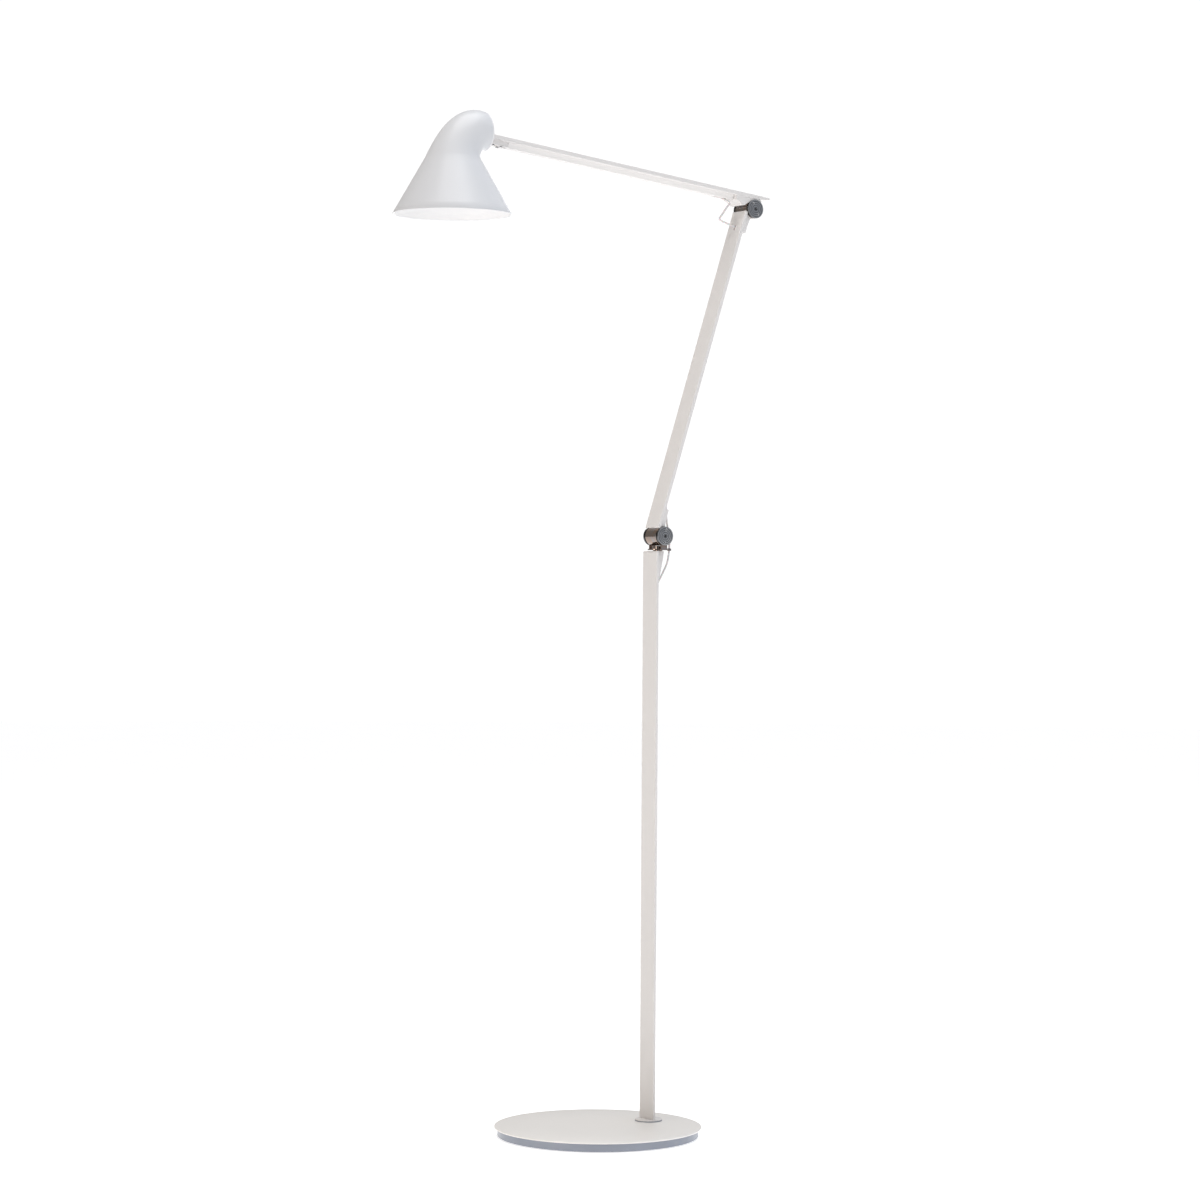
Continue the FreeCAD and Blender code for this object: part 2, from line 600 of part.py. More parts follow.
def half_ring(centre, radius, turn, side):
    """Points of half a round section, from its rear edge to its front edge."""
    tilt = FreeCAD.Rotation(V(0, 1, 0), turn)
    points = []
    for k in range(RING_POINTS + 1):
        a = math.pi * k / RING_POINTS
        points.append(centre + tilt.multVec(V(radius * math.cos(a), side * radius * math.sin(a), 0)))
    return points


def skinned(sections):
    """A solid skinned over round sections, each given as centre, radius and turn."""
    faces = []
    for side in (-1, 1):
        surface = Part.BSplineSurface()
        surface.interpolate([half_ring(*section, side) for section in sections])
        faces.append(surface.toShape())
    for centre, radius, turn in (sections[0], sections[-1]):
        rim = []
        for face in faces[:2]:
            for edge in face.Edges:
                flat = all(abs((edge.valueAt(t) - centre).Length - radius) < 0.01 for t in
                           (edge.FirstParameter, 0.5 * (edge.FirstParameter + edge.LastParameter)))
                if flat:
                    rim.append(edge)
        faces.append(Part.Face(Part.Wire(Part.__sortEdges__(rim))))
    shell = Part.makeShell(faces)
    shell.sewShape()
    solid = Part.makeSolid(shell)
    if solid.Volume < 0:
        solid.reverse()
    return solid


def shade_body(inset, over):
    """The shade's solid, smaller by inset all round and longer by over at both ends."""
    heights = [CONE_END * k / CONE_STEPS for k in range(CONE_STEPS + 1)]
    if over:
        heights.insert(0, -over)
    sections = [(V(0, 0, z), SHADE_R - SHADE_SLOPE * z - inset * 1.15, 0) for z in heights]
    for k in range(HOOD_STEPS + 1):
        centre, radius, turn = hood_section(k / HOOD_STEPS)
        sections.append((centre, radius - inset, turn))
    if over:
        way = V(math.sin(math.radians(turn)), 0, math.cos(math.radians(turn)))
        sections.append((centre + way * over, radius - inset, turn))
    return skinned(sections)


def button_place():
    centre, radius, turn = hood_section(BUTTON_T)
    return V(centre.x, radius, centre.z)


def shade_shell():
    shell = shade_body(0, 0).cut(shade_body(SHELL_T, 2.0))
    at = button_place()
    return moved(shell.cut(rod((at.x, 5, at.z), (0, 1, 0), BUTTON_R + 0.3, 40)), SHADE)


def at_rear(shape):
    """Move a shape drawn about +Z to the hood's rear opening, +Z looking out."""
    centre, radius, turn = hood_section(1.0)
    return turned(shape, turn, SHADE + centre)


def rear_ring():
    sleeve = tube((0, 0, -7.0), (0, 0, 1), RING_OUT, RING_IN, 7.0)
    lip = tube((0, 0, 0.05), (0, 0, 1), HOOD_R[2] - 0.4, RING_IN, 2.2)
    lip = rounded(lip, 0.9, lambda e: len(e.Vertexes) == 1 and e.Vertexes[0].Z > 1.0)
    bridge = tube((0, 0, -0.5), (0, 0, 1), RING_OUT, RING_IN, 1.2)
    return at_rear(sleeve.fuse(bridge).fuse(lip).removeSplitter())


def pivot_place():
    return arm_point((HEAD_PIVOT_N, 0, HEAD_PIVOT_S), UPPER_RISE - 90.0, elbow_point()) - SHADE


def head_bracket():
    """A U-shaped bracket on the heat sink: two cheeks hold the tilt pin."""
    p = pivot_place()
    shape = box(p.x - 9, p.x + 5, -CHEEK_IN - CHEEK_T, CHEEK_IN + CHEEK_T, SINK_TOP, SINK_TOP + 3)
    for y in (-CHEEK_IN - CHEEK_T, CHEEK_IN):
        shape = shape.fuse(box(p.x - 7, p.x + 7, y, y + CHEEK_T, SINK_TOP + 3, p.z))
        shape = shape.fuse(box(p.x - 9, p.x + 5, y, y + CHEEK_T, SINK_TOP, SINK_TOP + 12))
        shape = shape.fuse(rod((p.x, y, p.z), (0, 1, 0), 7.0, CHEEK_T))
    shape = shape.cut(rod((p.x, -20, p.z), (0, 1, 0), HEAD_PIN_R + FIT, 40))
    shape = shape.cut(rod((p.x - 6, 0, SINK_TOP - 1), (0, 0, 1), 2.0, 6))
    for y in SINK_SCREW_Y:
        shape = shape.cut(rod((p.x + 1, y, SINK_TOP - 1), (0, 0, 1), SINK_SCREW_R + FIT, 6))
    return moved(shape.removeSplitter(), SHADE)


def head_pin():
    p = pivot_place()
    reach = CHEEK_IN + CHEEK_T
    pin = rod((p.x, -reach, p.z), (0, 1, 0), HEAD_PIN_R, 2 * reach)
    for side in (-1, 1):
        head = rod((p.x, side * reach, p.z), (0, side, 0), 4.2, 1.6)
        if side < 0:
            head = head.cut(hexagon((p.x, -reach - 1.7, p.z), (0, 1, 0), 2.5, 1.2))
        pin = pin.fuse(head)
    return moved(pin, SHADE)


def head_friction_washers():
    p = pivot_place()
    gap = CHEEK_IN - LINK_HALF
    rings = [tube((p.x, y, p.z), (0, 1, 0), 6.2, HEAD_PIN_R + FIT, gap - 0.05)
             for y in (-CHEEK_IN, LINK_HALF + 0.05)]
    return moved(Part.makeCompound(rings), SHADE)


def heat_sink():
    """A round aluminium block with a ring of radial fins on its upper side."""
    disc = rod((0, 0, MODULE_Z + 3), (0, 0, 1), MODULE_R - 4.2, 5.0)
    hub = rod((0, 0, MODULE_Z + 8), (0, 0, 1), 15.0, SINK_TOP - MODULE_Z - 8)
    hub = hub.fuse(box(0, 26, -9, 9, MODULE_Z + 8, SINK_TOP))
    fins = []
    for k in range(24):
        fin = box(12, SINK_R, -0.7, 0.7, MODULE_Z + 8, SINK_TOP - 1.5)
        fin.rotate(V(0, 0, 0), V(0, 0, 1), 15.0 * k)
        fins.append(fin)
    shape = disc.fuse(hub)
    for fin in fins:
        shape = shape.fuse(fin)
    p = pivot_place()
    shape = shape.cut(rod((p.x - 6, 0, MODULE_Z), (0, 0, 1), 1.8, 30))
    for y in SINK_SCREW_Y:
        shape = shape.cut(rod((p.x + 1, y, SINK_TOP - 5.5), (0, 0, 1), SINK_SCREW_R, 6))
    return moved(shape.removeSplitter(), SHADE)


def heat_sink_screws():
    p = pivot_place()
    solids = []
    for y in SINK_SCREW_Y:
        shank = rod((p.x + 1, y, SINK_TOP - 5), (0, 0, 1), SINK_SCREW_R, 8.0)
        solids.append(shank.fuse(rod((p.x + 1, y, SINK_TOP + 3), (0, 0, 1), 2.4, 1.4)))
    return moved(Part.makeCompound(solids), SHADE)


def led_board():
    board = rod((0, 0, MODULE_Z + 1.4), (0, 0, 1), MODULE_R - 6, 1.6)
    return moved(board.cut(rod((pivot_place().x - 6, 0, MODULE_Z), (0, 0, 1), 1.8, 9)), SHADE)


def led_chips():
    chips = []
    for count, radius in ((1, 0.0), (6, 11.0), (12, 24.0)):
        for k in range(count):
            a = 2 * math.pi * (k + 0.5) / count
            x, y = radius * math.cos(a), radius * math.sin(a)
            chips.append(box(x - 1.5, x + 1.5, y - 1.5, y + 1.5, MODULE_Z + 0.7, MODULE_Z + 1.4))
    return moved(Part.makeCompound(chips), SHADE)


def module_carrier():
    """The ring that holds the light module against the inside of the cone."""
    z0 = MODULE_Z - 3.0
    z1 = MODULE_Z + 9.0
    wall = SHADE_R - SHELL_T * 1.15 - 0.3
    outer = Part.makeCone(wall - SHADE_SLOPE * z0, wall - SHADE_SLOPE * z1, z1 - z0, V(0, 0, z0))
    shape = outer.cut(rod((0, 0, z0), (0, 0, 1), MODULE_R - 4.0, 20))
    return moved(shape, SHADE)


def diffuser():
    disc = rod((0, 0, MODULE_Z - 2.4), (0, 0, 1), MODULE_R - 4.2, 2.4)
    return moved(rounded(disc, 0.6, lambda e: e.Vertexes[0].Z < MODULE_Z - 2), SHADE)


def switch_body():
    at = button_place()
    shape = box(at.x - 6, at.x + 6, 11.0, at.y - 4.0, at.z - 6, at.z + 6)
    return moved(shape.cut(rod((at.x, at.y - 9.5, at.z), (0, 1, 0), BUTTON_R + 0.25, 10)), SHADE)


def switch_bracket():
    at = button_place()
    p = pivot_place()
    y0 = CHEEK_IN + CHEEK_T
    arm = box(p.x - 8.5, p.x - 4.5, y0, 11.0, SINK_TOP + 4, at.z + 4)
    plate = box(min(p.x - 8.5, at.x - 6), at.x + 6, 9.9, 11.0, at.z - 6, at.z + 4)
    shape = arm.fuse(plate)
    shape = shape.cut(rod((p.x, y0, p.z), (0, 1, 0), 4.6, 3))
    return moved(shape.removeSplitter(), SHADE)


def switch_button():
    at = button_place()
    cap = rod((at.x, at.y - 7.5, at.z), (0, 1, 0), BUTTON_R, 7.5 + BUTTON_PROUD)
    cap = rounded(cap, 0.7, lambda e: len(e.Vertexes) == 1 and e.Vertexes[0].Y > at.y)
    return moved(cap, SHADE)


# ---- cables ------------------------------------------------------------------------

GUIDE = (GUIDE_X, 0, SWIVEL_Z + 0.7)
ABOVE_GUIDE = (103.7, 0, 750.5)
POST_ENTRY = (85.0, 0, 692.5)
BEFORE_ENTRY = (93.9, 0, 707.5)

def onward(before, at, distance):
    """The point that lies a distance past the second point, in line with both."""
    way = V(*at) - V(*before)
    return tuple(V(*at) + way.normalize() * distance)


def world(points, lean, origin):
    return [tuple(arm_point((x, 0, s), lean, origin)) for x, s in points]


def lower_route():
    """In at the front slot near the elbow, down the rib, out behind the shoulder."""
    x = LOWER_CABLE_X
    top = ARM_L - SLOT_S
    return world([(-LOWER_FRONT, top), (x, top + 0.5), (x, 62.0), (x + 2.2, 48.0), (x + 5.6, 38.0)],
                 LOWER_LEAN, SHOULDER)


def upper_route():
    """In at the underside near the elbow, along the rib and out of the head link."""
    x = UPPER_CABLE_X
    return world([(x - 1.8, 49.0), (x, 56.6), (x, 396.0), (x - 2.6, 404.0)],
                 UPPER_RISE - 90.0, elbow_point())


def post_cable():
    """From the exposed loop down the post's rib, under the foot and to the gland."""
    x = POST_CABLE_X
    points = [POST_ENTRY, onward(BEFORE_ENTRY, POST_ENTRY, 7.5), (x, 0, 670.5), (x, 0, CABLE_Z + 9),
              (x + 0.6, 0, CABLE_Z + 3.2), (x + 4.5, 0, CABLE_Z + 0.3), (x + 14, 0, CABLE_Z + 0.6),
              (WEIGHT_R - GLAND_L + 4, 0, CABLE_Z + 0.6)]
    return cable("post_cable", points)


def lower_arm_cable():
    return cable("lower_arm_cable", lower_route(), 6.0)


def upper_arm_cable():
    return cable("upper_arm_cable", upper_route(), 30.0)


def elbow_cable():
    """The exposed loop from the upper arm's underside to the lower arm's slot."""
    start = upper_route()[:2]
    end = lower_route()[:2]
    points = [start[0], onward(start[1], start[0], 18.3)]
    points += [onward(end[1], end[0], 26.5), end[0]]
    return cable("elbow_cable", points, 4.0)


def shoulder_cable_upper():
    """From the lower arm's rear exit to the guide on the swivel plate."""
    end = lower_route()[-2:]
    points = [end[1], onward(end[0], end[1], 16.0), ABOVE_GUIDE, GUIDE]
    return cable("shoulder_cable_upper", points)


def shoulder_cable_lower():
    """From the guide on the swivel plate into the post's rear slot."""
    points = [GUIDE, onward(ABOVE_GUIDE, GUIDE, 14.0), BEFORE_ENTRY, POST_ENTRY]
    return cable("shoulder_cable_lower", points)


def head_cable():
    """From the end of the arm's groove down into the light module."""
    end = upper_route()[-2:]
    p = pivot_place() + SHADE
    points = [end[1], onward(end[0], end[1], 11.0), (p.x - 5.0, 0, p.z - 12.5),
              (p.x - 6, 0, SHADE.z + SINK_TOP - 1.0)]
    return cable("head_cable", points, 5.0)


# ---- everything --------------------------------------------------------------------


def build():
    elbow = elbow_point()
    post, post_cover = post_bar_and_cover()
    arm, arm_cover = lower_bar_and_cover()
    boom, boom_cover = upper_bar_and_cover()
    nodes = {
        "foot_pad": foot_pad(),
        "base_weight": base_weight(),
        "base_top_plate": base_top_plate(),
        "post_flange": post_flange(),
        "post_foot_bolts": post_foot_bolts(),
        "post_foot_washers": post_foot_washers(),
        "cable_gland": cable_gland(),
        "post_bar": post,
        "post_cable_cover": post_cover,
        "post_head_block": post_head_block(),
        "post_head_screws": post_head_screws(),
        "post_cable": post_cable(),
        "swivel_stop_pin": swivel_stop_pin(),
        "swivel_spacer": swivel_spacer(),
        "swivel_yoke": swivel_yoke(),
        "swivel_bolt": swivel_bolt(),
        "swivel_locknut": swivel_locknut(),
        "swivel_disc_springs": swivel_disc_springs(),
        "cable_guide": cable_guide(),
        "shoulder_cable_upper": shoulder_cable_upper(),
        "shoulder_cable_lower": shoulder_cable_lower(),
        "lower_arm_bar": arm,
        "lower_arm_cable_cover": arm_cover,
        "lower_arm_cable": lower_arm_cable(),
        "elbow_cable": elbow_cable(),
        "elbow_yoke": elbow_yoke(),
        "elbow_clamp_screw": elbow_clamp_screw(),
        "upper_arm_bar": boom,
        "upper_arm_cable_cover": boom_cover,
        "upper_arm_tail_cap": tail_cap(),
        "upper_arm_cable": upper_arm_cable(),
        "head_link": head_link(),
        "head_link_screws": head_link_screws(),
        "shade": shade_shell(),
        "shade_rear_ring": rear_ring(),
        "head_bracket": head_bracket(),
        "head_pin": head_pin(),
        "head_friction_washers": head_friction_washers(),
        "head_cable": head_cable(),
        "heat_sink": heat_sink(),
        "heat_sink_screws": heat_sink_screws(),
        "module_carrier": module_carrier(),
        "led_board": led_board(),
        "led_chips": led_chips(),
        "diffuser": diffuser(),
        "switch_body": switch_body(),
        "switch_bracket": switch_bracket(),
        "switch_button": switch_button(),
    }
    for joint, at, flip, turn in (("shoulder", SHOULDER, False, 82.0), ("elbow", elbow, True, 118.0)):
        nodes[joint + "_barrel"] = hinge_barrel(at)
        nodes[joint + "_pin"] = hinge_pin(at)
        nodes[joint + "_friction_washers"] = hinge_washers(at)
        nodes[joint + "_cap_left"] = hinge_cap(at, -1, turn)
        nodes[joint + "_cap_right"] = hinge_cap(at, 1, turn)
        nodes[joint + "_saddle"] = saddle(flip)
    return nodes


def main():
    os.makedirs("parts", exist_ok=True)
    for name, shape in build().items():
        shape.exportStep(os.path.join("parts", name + ".step"))
        if not shape.isValid():
            print("INVALID", name)
    pivot = pivot_place() + SHADE
    print("elbow", elbow_point(), "head pivot", pivot, "button", button_place() + SHADE)


main()
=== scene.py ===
"""Looks for the adjustable arm floor lamp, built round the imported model, in metres."""
import bmesh
import bpy
import json
import math
from mathutils import Matrix, Vector


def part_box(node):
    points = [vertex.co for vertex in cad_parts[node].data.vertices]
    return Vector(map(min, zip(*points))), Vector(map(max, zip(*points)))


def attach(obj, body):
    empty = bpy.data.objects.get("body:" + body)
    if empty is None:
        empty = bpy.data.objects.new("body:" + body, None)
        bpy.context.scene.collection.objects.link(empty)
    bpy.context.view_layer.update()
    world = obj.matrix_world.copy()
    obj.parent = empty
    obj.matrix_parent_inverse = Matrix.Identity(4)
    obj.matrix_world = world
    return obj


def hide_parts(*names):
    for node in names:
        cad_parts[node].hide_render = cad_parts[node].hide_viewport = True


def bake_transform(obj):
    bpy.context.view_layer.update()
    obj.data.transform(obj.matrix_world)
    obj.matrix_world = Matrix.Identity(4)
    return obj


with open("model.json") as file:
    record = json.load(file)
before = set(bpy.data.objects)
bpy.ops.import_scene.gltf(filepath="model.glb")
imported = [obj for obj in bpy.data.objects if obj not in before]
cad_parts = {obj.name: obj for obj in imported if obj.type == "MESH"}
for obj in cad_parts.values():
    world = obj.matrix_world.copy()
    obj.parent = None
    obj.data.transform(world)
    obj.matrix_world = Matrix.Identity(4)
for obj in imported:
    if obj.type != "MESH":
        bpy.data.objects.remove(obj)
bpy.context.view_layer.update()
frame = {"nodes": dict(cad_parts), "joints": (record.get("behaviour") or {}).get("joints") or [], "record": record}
NODES = frame["nodes"]
JOINTS = {joint["name"]: joint for joint in frame["joints"]}
BODY_OF = {node: body for body, nodes in frame["record"]["behaviour"]["bodies"].items() for node in nodes}
SLOT_OF = {part["node"]: part["material_slot"] for part in frame["record"]["subparts"]}

Y = Vector((0, 1, 0))
Z = Vector((0, 0, 1))
MM = 0.001

SHOULDER = Vector(JOINTS["shoulder_tilt"]["pos_m"])
ELBOW = Vector(JOINTS["elbow_tilt"]["pos_m"])
PIVOT = Vector(JOINTS["head_tilt"]["pos_m"])
ARM_L = (ELBOW - SHOULDER).length
LOWER_LEAN = math.atan2(ELBOW.x - SHOULDER.x, ELBOW.z - SHOULDER.z)
UPPER_LEAN = math.radians(6.94 - 90.0)

# ---- camera --------------------------------------------------------------------------

AZIMUTH = math.radians(33.102)   # the camera stands this far round from the lamp's side
DISTANCE = 4.22525
CAMERA_X = -0.0045
CAMERA_Z = 0.70171
YAW = AZIMUTH + math.radians(0.031)
PITCH = math.radians(-0.408)
ROLL = math.radians(0.372)


def place_camera():
    data = bpy.data.cameras.new("camera")
    data.lens = 101.30
    data.sensor_width = 36.0
    data.clip_start = 0.1
    data.clip_end = 100.0
    forward = Vector((math.sin(YAW) * math.cos(PITCH), math.cos(YAW) * math.cos(PITCH), math.sin(PITCH)))
    level = Vector((math.cos(YAW), -math.sin(YAW), 0))
    upright = level.cross(forward)
    right = math.cos(ROLL) * level + math.sin(ROLL) * upright
    up = -math.sin(ROLL) * level + math.cos(ROLL) * upright
    turn = Matrix((right, up, -forward)).transposed()
    camera = bpy.data.objects.new("camera", data)
    bpy.context.scene.collection.objects.link(camera)
    place = Vector((CAMERA_X - DISTANCE * math.sin(AZIMUTH), -DISTANCE * math.cos(AZIMUTH), CAMERA_Z))
    camera.matrix_world = Matrix.Translation(place) @ turn.to_4x4()
    bpy.context.scene.camera = camera


place_camera()

# ---- materials -----------------------------------------------------------------------


class Paint:
    """A Principled material whose colour, roughness and bump come from noise in the
    lamp's own coordinates."""

    def __init__(self, name, colour, roughness, **sockets):
        self.material = bpy.data.materials.new(name)
        self.material.use_nodes = True
        self.tree = self.material.node_tree
        self.shader = self.tree.nodes["Principled BSDF"]
        self.colour = colour
        self.roughness = roughness
        self.height = None
        self.set("Base Color", (*colour, 1.0))
        self.set("Roughness", roughness)
        for socket, value in sockets.items():
            self.set(socket.replace("_", " "), value)
        self.place = self.tree.nodes.new("ShaderNodeTexCoord").outputs["Object"]

    def set(self, socket, value):
        self.shader.inputs[socket].default_value = value

    def node(self, kind, **values):
        made = self.tree.nodes.new(kind)
        for key, value in values.items():
            setattr(made, key, value)
        return made

    def noise(self, scale, detail=2.0, stretch=(1, 1, 1)):
        """A noise value from 0 to 1; scale is its features to a metre."""
        mapping = self.node("ShaderNodeMapping")
        mapping.inputs["Scale"].default_value = stretch
        self.tree.links.new(self.place, mapping.inputs["Vector"])
        noise = self.node("ShaderNodeTexNoise")
        noise.inputs["Scale"].default_value = scale
        noise.inputs["Detail"].default_value = detail
        self.tree.links.new(mapping.outputs["Vector"], noise.inputs["Vector"])
        return noise.outputs["Fac"]

    def spread(self, value, low, high, out_low, out_high):
        ramp = self.node("ShaderNodeMapRange", interpolation_type="SMOOTHSTEP")
        for socket, number in (("From Min", low), ("From Max", high),
                               ("To Min", out_low), ("To Max", out_high)):
            ramp.inputs[socket].default_value = number
        self.tree.links.new(value, ramp.inputs["Value"])
        return ramp.outputs["Result"]

    def mottle(self, value, other, low=0.35, high=0.65):
        """Colour that drifts from the base colour to another one."""
        mix = self.node("ShaderNodeMix", data_type="RGBA")
        ends = [socket for socket in mix.inputs if socket.type == "RGBA"]
        ends[0].default_value = (*self.colour, 1.0)
        ends[1].default_value = (*other, 1.0)
        self.tree.links.new(self.spread(value, low, high, 0.0, 1.0), mix.inputs["Factor"])
        result = next(o for o in mix.outputs if o.type == "RGBA")
        self.tree.links.new(result, self.shader.inputs["Base Color"])
        return self

    def polish(self, value, change):
        """Roughness that varies by change either side of its middle value."""
        spread = self.spread(value, 0.3, 0.7, self.roughness - change, self.roughness + change)
        self.tree.links.new(spread, self.shader.inputs["Roughness"])
        return self

    def bump(self, value, depth):
        """Relief of the given depth in metres; later calls lie on top of earlier ones."""
        bump = self.node("ShaderNodeBump")
        bump.inputs["Distance"].default_value = depth
        self.tree.links.new(value, bump.inputs["Height"])
        if self.height is not None:
            self.tree.links.new(self.height, bump.inputs["Normal"])
        self.height = bump.outputs["Normal"]
        self.tree.links.new(self.height, self.shader.inputs["Normal"])
        return self

    def rings(self, centre, scale):
        """Fine turning marks round an axis along Y through centre."""
        mapping = self.node("ShaderNodeMapping")
        mapping.inputs["Location"].default_value = -Vector(centre)
        self.tree.links.new(self.place, mapping.inputs["Vector"])
        wave = self.node("ShaderNodeTexWave", wave_type="RINGS", rings_direction="Y")
        wave.inputs["Scale"].default_value = scale
        wave.inputs["Distortion"].default_value = 0.4
        wave.inputs["Detail"].default_value = 1.0
        self.tree.links.new(mapping.outputs["Vector"], wave.inputs["Vector"])
        return wave.outputs["Fac"]


def powder_coat(name, colour, shade, roughness=0.42, drift=0.05, peel=0.00004):
    """Satin powder coat: fine orange peel, faint drifts of gloss and colour."""
    paint = Paint(name, colour, roughness, Coat_Weight=0.12, Coat_Roughness=0.22, Specular_IOR_Level=0.5)
    paint.mottle(paint.noise(9.0, 3.0), shade)
    paint.polish(paint.noise(55.0, 3.0), drift)
    paint.bump(paint.noise(520.0, 2.0), peel)
    paint.bump(paint.noise(1900.0, 1.0), 0.3 * peel)
    return paint.material


def base_paint_and_shade(name):
    """Slate-blue coat with a slight metallic sheen, darkened to paint the shade that falls on the foot's side."""
    # painted shade: the slate colour is set darker for the shade on the foot's side
    paint = Paint(name, (0.275, 0.298, 0.350), 0.32, Metallic=0.35, Coat_Weight=0.08, Coat_Roughness=0.2)
    paint.mottle(paint.noise(9.0, 3.0), (0.258, 0.280, 0.332))
    paint.polish(paint.noise(55.0, 3.0), 0.03)
    paint.bump(paint.noise(520.0, 2.0), 0.00001)
    return paint.material


def dark_chrome(name, stretch):
    """Polished black chrome whose brown tint and faint brown drifts along its length are painted reflection."""
    paint = Paint(name, (0.300, 0.275, 0.270), 0.12, Metallic=1.0)
    # painted reflection: brown drifts in the chrome's colour
    paint.mottle(paint.noise(150.0, 2.0, stretch), (0.330, 0.250, 0.205))
    paint.polish(paint.noise(700.0, 2.0, stretch), 0.035)
    paint.bump(paint.noise(2600.0, 1.0, stretch), 0.000004)
    return paint.material


def turned_chrome_with_painted_rings(name, centre):
    """Black chrome with fine turning marks round the hinge line, raised as bumps; the light and dark rings in its
    colour are painted highlights.
    """
    paint = Paint(name, (0.135, 0.137, 0.142), 0.20, Metallic=1.0)
    # painted highlight: light rings in the colour stand for the turned face's concentric glints
    paint.mottle(paint.rings(centre, 130.0), (0.380, 0.384, 0.392), 0.2, 0.8)
    paint.polish(paint.noise(420.0, 2.0), 0.05)
    paint.bump(paint.rings(centre, 520.0), 0.00001)
    return paint.material


def metal(name, colour, other, roughness, scale=260.0, depth=0.00001):
    paint = Paint(name, colour, roughness, Metallic=1.0)
    paint.mottle(paint.noise(scale * 0.3, 3.0), other)
    paint.polish(paint.noise(scale, 2.0), 0.06)
    paint.bump(paint.noise(scale * 6.0, 2.0), depth)
    return paint.material


def plastic(name, colour, other, roughness, scale=400.0, depth=0.00001, **sockets):
    paint = Paint(name, colour, roughness, **sockets)
    paint.mottle(paint.noise(scale * 0.1, 3.0), other)
    paint.polish(paint.noise(scale * 0.4, 2.0), 0.05)
    paint.bump(paint.noise(scale * 4.0, 2.0), depth)
    return paint.material


def lit(name, colour, glow, strength):
    """Opal plastic lit from behind, its colour drifting a little at random."""
    paint = Paint(name, colour, 0.45, Emission_Strength=strength)
    paint.set("Emission Color", (*glow, 1.0))
    paint.mottle(paint.noise(60.0, 2.0), tuple(0.97 * c for c in colour))
    paint.bump(paint.noise(1500.0, 1.0), 0.00001)
    return paint.material


def felt(name):
    paint = Paint(name, (0.055, 0.055, 0.060), 0.95, Sheen_Weight=0.4, Sheen_Roughness=0.6)
    paint.mottle(paint.noise(900.0, 4.0), (0.11, 0.11, 0.115))
    paint.bump(paint.noise(2400.0, 4.0), 0.0004)
    return paint.material


MATERIALS = {
    "felt": felt("felt"),
    "base_side": base_paint_and_shade("base_side"),
    # painted light: the lamp wears one white coat; white_top is made brighter for the foot's lit top, white_paint
    # warmer for the warmly lit post and arms, shade_white darker and cooler for the shade's cool-lit faces
    "white_top": powder_coat("white_top", (0.905, 0.880, 0.850), (0.898, 0.873, 0.843), 0.34,
                             0.012, 0.000006),
    "white_paint": powder_coat("white_paint", (0.765, 0.745, 0.736), (0.748, 0.729, 0.720)),
    "shade_white": powder_coat("shade_white", (0.690, 0.700, 0.725), (0.675, 0.685, 0.710), 0.38),
    "screw_steel": metal("screw_steel", (0.50, 0.50, 0.51), (0.42, 0.42, 0.43), 0.28),
    "dark_chrome": dark_chrome("dark_chrome", (0.2, 1.0, 1.0)),
    "washer_plastic": plastic("washer_plastic", (0.60, 0.57, 0.52), (0.55, 0.52, 0.47), 0.5),
    "cable_white": plastic("cable_white", (0.770, 0.735, 0.735), (0.740, 0.705, 0.705), 0.48, 500.0,
                           0.00001, Subsurface_Weight=0.15, Subsurface_Scale=0.0006, Coat_Weight=0.1),
    "rubber": plastic("rubber", (0.030, 0.030, 0.032), (0.040, 0.040, 0.042), 0.6, 500.0, 0.00003),
    "ring_white": plastic("ring_white", (0.850, 0.845, 0.860), (0.830, 0.825, 0.840), 0.34),
    "cast_aluminium": metal("cast_aluminium", (0.62, 0.62, 0.63), (0.55, 0.55, 0.56), 0.42, 500.0, 0.00005),
    "board": plastic("board", (0.80, 0.80, 0.78), (0.74, 0.75, 0.73), 0.4),
    "led": lit("led", (0.90, 0.80, 0.42), (1.0, 0.86, 0.62), 6.0),
    "diffuser": lit("diffuser", (0.93, 0.90, 0.84), (1.0, 0.880, 0.700), 3.0),
    "switch_black": plastic("switch_black", (0.020, 0.020, 0.022), (0.030, 0.030, 0.032), 0.4),
    "button_white": plastic("button_white", (0.78, 0.78, 0.79), (0.75, 0.75, 0.76), 0.35),
}
TURNED = {"shoulder": turned_chrome_with_painted_rings("turned_shoulder", SHOULDER), "elbow": turned_chrome_with_painted_rings("turned_elbow", ELBOW)}


def material_of(node):
    if SLOT_OF[node] == "turned_cap":
        return TURNED[node.split("_")[0]]
    return MATERIALS[SLOT_OF[node]]


for node, cad in NODES.items():
    for holder in cad.material_slots:
        holder.material = material_of(node)

# ---- mesh helpers --------------------------------------------------------------------


def piece(name, mesh, node, *more, crease=30.0):
    """A shown piece that stands for one CAD node or more, with the first one's material; the CAD nodes are hidden.
    """
    for polygon in mesh.polygons:
        polygon.use_smooth = True
    mesh.set_sharp_from_angle(angle=math.radians(crease))
    obj = bpy.data.objects.new(name, mesh)
    bpy.context.scene.collection.objects.link(obj)
    mesh.materials.clear()
    mesh.materials.append(material_of(node))
    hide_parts(node, *more)
    return obj


def soften(obj, width, segments=2, angle=32.0):
    bevel = obj.modifiers.new("edges", "BEVEL")
    bevel.width = width
    bevel.segments = segments
    bevel.limit_method = "ANGLE"
    bevel.angle_limit = math.radians(angle)
    bevel.harden_normals = True
    return obj


def refine(node, width, segments=2):
    """The CAD node's own shape with its sharp edges broken."""
    shape = bmesh.new()
    shape.from_mesh(NODES[node].data)
    bmesh.ops.remove_doubles(shape, verts=shape.verts, dist=2e-6)
    bmesh.ops.dissolve_limit(shape, angle_limit=math.radians(0.6), verts=shape.verts, edges=shape.edges)
    mesh = bpy.data.meshes.new(node + "_skin")
    shape.to_mesh(mesh)
    shape.free()
    obj = soften(piece(node + "_skin", mesh, node), width, segments)
    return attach(obj, BODY_OF[node])


